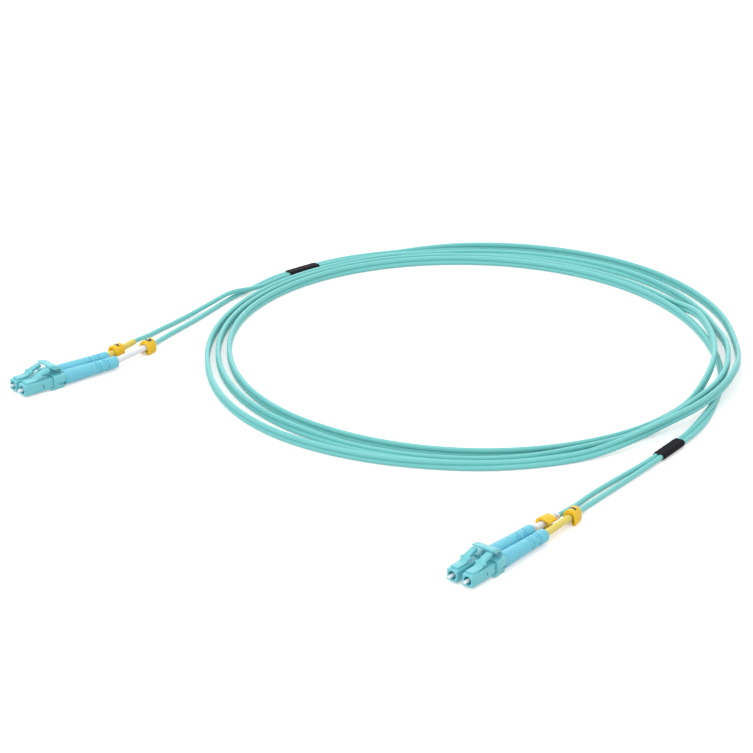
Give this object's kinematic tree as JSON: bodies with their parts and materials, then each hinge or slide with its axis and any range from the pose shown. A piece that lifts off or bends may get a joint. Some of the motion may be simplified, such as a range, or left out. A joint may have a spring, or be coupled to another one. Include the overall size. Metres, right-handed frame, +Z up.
{
  "type": "fibre optic patch cord",
  "caption": "Duplex fibre optic patch cord: duplex plugs with sprung latches and a shared trigger at each end, long boots, marked legs and a coiled two-strand cord.",
  "frame": {"origin": "on the table, below the middle of the two connectors' bounding box", "axes": "+X from connector b to connector a, +Y from the plugs' faces toward the coil, +Z up from the table"},
  "size_m": [0.2606, 0.2814, 0.01],
  "materials": {
    "aqua_plastic": "satin moulded",
    "steel": "drawn",
    "white_sleeve": "satin",
    "yellow_sleeve": "satin",
    "zirconia": "polished ceramic",
    "nickel_brass": "nickel plated",
    "fibre_buffer": "matte",
    "crimp_metal": "tin plated",
    "blue_boot": "soft moulded",
    "aqua_jacket": "satin extruded",
    "black_shrink": "satin",
    "orange_marker": "moulded"
  },
  "bodies": {
    "cord": {"coil": "aqua_jacket", "a_shrink": "black_shrink", "b_shrink": "black_shrink", "a_clip": "aqua_plastic", "b_clip": "aqua_plastic", "a1_housing": "aqua_plastic", "a1_spring": "steel", "a1_stop": "steel", "a1_fibre": "fibre_buffer", "a1_crimp": "crimp_metal", "a1_boot": "blue_boot", "a1_sleeve": "yellow_sleeve", "a1_leg": "aqua_jacket", "a2_housing": "aqua_plastic", "a2_spring": "steel", "a2_stop": "steel", "a2_fibre": "fibre_buffer", "a2_crimp": "crimp_metal", "a2_boot": "blue_boot", "a2_sleeve": "white_sleeve", "a2_leg": "aqua_jacket", "b1_housing": "aqua_plastic", "b1_spring": "steel", "b1_stop": "steel", "b1_fibre": "fibre_buffer", "b1_crimp": "crimp_metal", "b1_boot": "blue_boot", "b1_sleeve": "white_sleeve", "b1_leg": "aqua_jacket", "b2_housing": "aqua_plastic", "b2_spring": "steel", "b2_stop": "steel", "b2_fibre": "fibre_buffer", "b2_crimp": "crimp_metal", "b2_boot": "blue_boot", "b2_sleeve": "yellow_sleeve", "b2_leg": "aqua_jacket"},
    "a_trigger": {"a_trigger": "aqua_plastic"},
    "b_trigger": {"b_trigger": "aqua_plastic"},
    "a1_ferrule": {"a1_ferrule": "zirconia", "a1_flange": "nickel_brass"},
    "a1_latch": {"a1_latch": "aqua_plastic"},
    "a1_marker": {"a1_marker": "orange_marker"},
    "a2_ferrule": {"a2_ferrule": "zirconia", "a2_flange": "nickel_brass"},
    "a2_latch": {"a2_latch": "aqua_plastic"},
    "a2_marker": {"a2_marker": "orange_marker"},
    "b1_ferrule": {"b1_ferrule": "zirconia", "b1_flange": "nickel_brass"},
    "b1_latch": {"b1_latch": "aqua_plastic"},
    "b1_marker": {"b1_marker": "orange_marker"},
    "b2_ferrule": {"b2_ferrule": "zirconia", "b2_flange": "nickel_brass"},
    "b2_latch": {"b2_latch": "aqua_plastic"},
    "b2_marker": {"b2_marker": "orange_marker"}
  },
  "joints": [
    {"name": "a_trigger_hinge", "type": "hinge", "parent": "cord", "child": "a_trigger", "pos_m": [0.11634, -0.00409, 0.00591], "axis": [0.9952, 0.0976, 0], "range_deg": [0, 10], "stiffness_Nm_per_rad": 0.02},
    {"name": "b_trigger_hinge", "type": "hinge", "parent": "cord", "child": "b_trigger", "pos_m": [-0.11639, -0.00408, 0.00591], "axis": [0.9955, -0.0952, 0], "range_deg": [0, 10], "stiffness_Nm_per_rad": 0.02},
    {"name": "a1_ferrule_slide", "type": "slide", "parent": "cord", "child": "a1_ferrule", "axis": [-0.0976, 0.9952, 0], "range_m": [0, 0.0015], "stiffness_N_per_m": 1500, "springref_m": -0.001, "deforming": ["a1_spring"]},
    {"name": "a1_latch_hinge", "type": "hinge", "parent": "cord", "child": "a1_latch", "pos_m": [0.12074, -0.01694, 0.00565], "axis": [0.9952, 0.0976, 0], "range_deg": [-7, 0], "stiffness_Nm_per_rad": 0.01},
    {"name": "a1_marker_slide", "type": "slide", "parent": "cord", "child": "a1_marker", "axis": [-0.1556, 0.9878, 0], "range_m": [-0.0025, 0]},
    {"name": "a2_ferrule_slide", "type": "slide", "parent": "cord", "child": "a2_ferrule", "axis": [-0.0785, 0.9969, 0], "range_m": [0, 0.0015], "stiffness_N_per_m": 1500, "springref_m": -0.001, "deforming": ["a2_spring"]},
    {"name": "a2_latch_hinge", "type": "hinge", "parent": "cord", "child": "a2_latch", "pos_m": [0.11431, -0.01757, 0.00565], "axis": [0.9969, 0.0785, 0], "range_deg": [-7, 0], "stiffness_Nm_per_rad": 0.01},
    {"name": "a2_marker_slide", "type": "slide", "parent": "cord", "child": "a2_marker", "axis": [-0.0698, 0.9976, 0], "range_m": [-0.006, 0.003]},
    {"name": "b1_ferrule_slide", "type": "slide", "parent": "cord", "child": "b1_ferrule", "axis": [0.0952, 0.9955, 0], "range_m": [0, 0.0015], "stiffness_N_per_m": 1500, "springref_m": -0.001, "deforming": ["b1_spring"]},
    {"name": "b1_latch_hinge", "type": "hinge", "parent": "cord", "child": "b1_latch", "pos_m": [-0.11453, -0.01754, 0.00565], "axis": [0.9955, -0.0952, 0], "range_deg": [-7, 0], "stiffness_Nm_per_rad": 0.01},
    {"name": "b1_marker_slide", "type": "slide", "parent": "cord", "child": "b1_marker", "axis": [-0.1295, 0.9916, 0], "range_m": [-0.008, 0]},
    {"name": "b2_ferrule_slide", "type": "slide", "parent": "cord", "child": "b2_ferrule", "axis": [0.0952, 0.9955, 0], "range_m": [0, 0.0015], "stiffness_N_per_m": 1500, "springref_m": -0.001, "deforming": ["b2_spring"]},
    {"name": "b2_latch_hinge", "type": "hinge", "parent": "cord", "child": "b2_latch", "pos_m": [-0.12076, -0.01694, 0.00565], "axis": [0.9955, -0.0952, 0], "range_deg": [-7, 0], "stiffness_Nm_per_rad": 0.01},
    {"name": "b2_marker_slide", "type": "slide", "parent": "cord", "child": "b2_marker", "axis": [-0.2086, 0.978, 0], "range_m": [-0.004, 0.008]}
  ],
  "couplings": [
    {"joint": "a1_latch_hinge", "follows": "a_trigger_hinge", "ratio": -0.7},
    {"joint": "a2_latch_hinge", "follows": "a_trigger_hinge", "ratio": -0.7},
    {"joint": "b1_latch_hinge", "follows": "b_trigger_hinge", "ratio": -0.7},
    {"joint": "b2_latch_hinge", "follows": "b_trigger_hinge", "ratio": -0.7}
  ]
}
